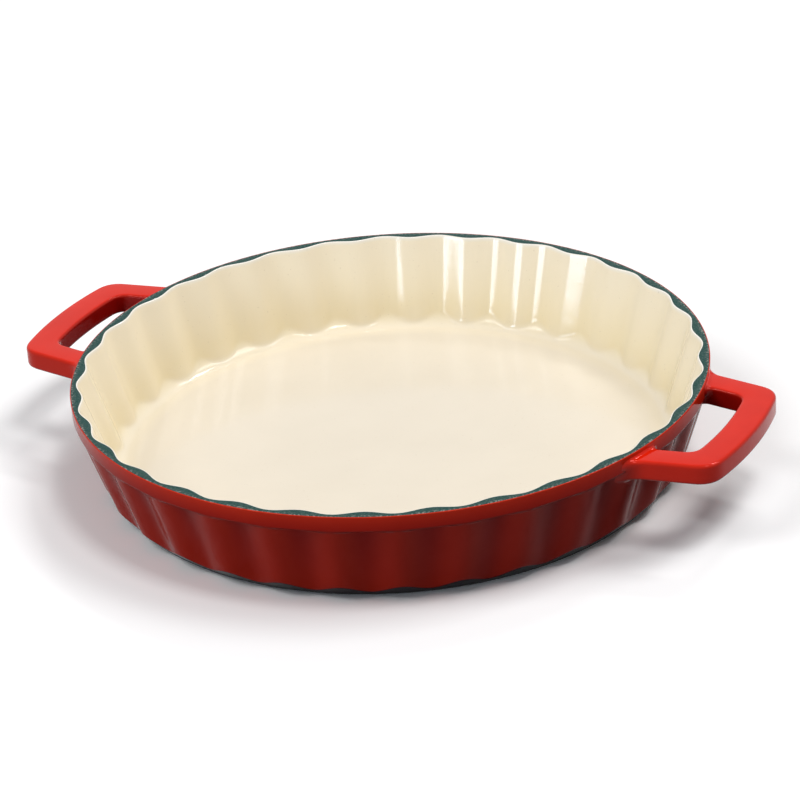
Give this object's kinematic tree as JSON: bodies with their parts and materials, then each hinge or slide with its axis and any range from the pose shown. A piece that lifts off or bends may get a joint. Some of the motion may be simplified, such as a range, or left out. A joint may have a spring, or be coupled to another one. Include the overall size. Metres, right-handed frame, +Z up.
{
  "type": "roasting pan",
  "caption": "Round shallow enamelled cast-iron roasting or baking dish with a fluted wall, flat floor, plain rim band and a loop handle on either side.",
  "frame": {"origin": "middle of the foot ring, on the table", "axes": "+X through the middle of the right handle, +Z up out of the bowl, +Y to the back"},
  "size_m": [0.3432, 0.2808, 0.046],
  "materials": {
    "grey_iron": "as cast and shot blasted, hidden under the enamel",
    "cream_enamel": "glossy vitreous enamel",
    "rim_ground_coat": "satin, slightly grainy dark green ground coat",
    "red_enamel": "high gloss vitreous enamel",
    "foot_ground_coat": "satin dark ground coat"
  },
  "bodies": {
    "root": {"iron_casting": "grey_iron", "cream_lining": "cream_enamel", "rim_coat": "rim_ground_coat", "red_wall_coat": "red_enamel", "left_handle_coat": "red_enamel", "right_handle_coat": "red_enamel", "foot_coat": "foot_ground_coat"}
  },
  "joints": []
}
